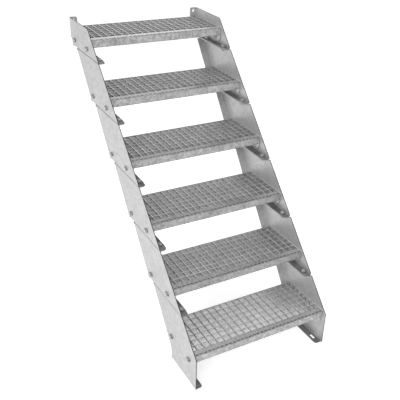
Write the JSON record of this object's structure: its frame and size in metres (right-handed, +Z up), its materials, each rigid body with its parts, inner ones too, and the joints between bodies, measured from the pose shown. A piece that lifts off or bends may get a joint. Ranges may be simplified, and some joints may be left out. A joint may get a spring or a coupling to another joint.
{
  "type": "modular steel outdoor stair with grating treads",
  "caption": "Straight outdoor stair flight of stacked folded steel stringer modules carrying open grating treads, with slotted foot flanges and wall flanges.",
  "frame": {"origin": "centre of the left foot flange's underside, on the floor", "axes": "+X to the right when climbing, across the stair; +Y the climbing direction, level; +Z up"},
  "size_m": [0.6228, 1.184, 1.134],
  "materials": {
    "galvanised_sheet_steel": "hot-dip galvanised folded sheet, matt with a faint spangle",
    "galvanised_tread_steel": "hot-dip galvanised pressed grating, dull grey",
    "zinc_plated_bolts": "zinc-plated hexagon bolts, nuts and washers"
  },
  "bodies": {
    "root": {"left_base_stringer": "galvanised_sheet_steel", "right_base_stringer": "galvanised_sheet_steel", "left_stringer_2": "galvanised_sheet_steel", "right_stringer_2": "galvanised_sheet_steel", "left_stringer_3": "galvanised_sheet_steel", "right_stringer_3": "galvanised_sheet_steel", "left_stringer_4": "galvanised_sheet_steel", "right_stringer_4": "galvanised_sheet_steel", "left_stringer_5": "galvanised_sheet_steel", "right_stringer_5": "galvanised_sheet_steel", "left_top_stringer": "galvanised_sheet_steel", "right_top_stringer": "galvanised_sheet_steel", "tread_1_grating": "galvanised_tread_steel", "tread_1_nosing": "galvanised_tread_steel", "tread_1_end_plates": "galvanised_tread_steel", "tread_2_grating": "galvanised_tread_steel", "tread_2_nosing": "galvanised_tread_steel", "tread_2_end_plates": "galvanised_tread_steel", "tread_3_grating": "galvanised_tread_steel", "tread_3_nosing": "galvanised_tread_steel", "tread_3_end_plates": "galvanised_tread_steel", "tread_4_grating": "galvanised_tread_steel", "tread_4_nosing": "galvanised_tread_steel", "tread_4_end_plates": "galvanised_tread_steel", "tread_5_grating": "galvanised_tread_steel", "tread_5_nosing": "galvanised_tread_steel", "tread_5_end_plates": "galvanised_tread_steel", "tread_6_grating": "galvanised_tread_steel", "tread_6_nosing": "galvanised_tread_steel", "tread_6_end_plates": "galvanised_tread_steel", "left_tread_bolts": "zinc_plated_bolts", "right_tread_bolts": "zinc_plated_bolts", "left_splice_bolts": "zinc_plated_bolts", "right_splice_bolts": "zinc_plated_bolts"}
  },
  "joints": []
}
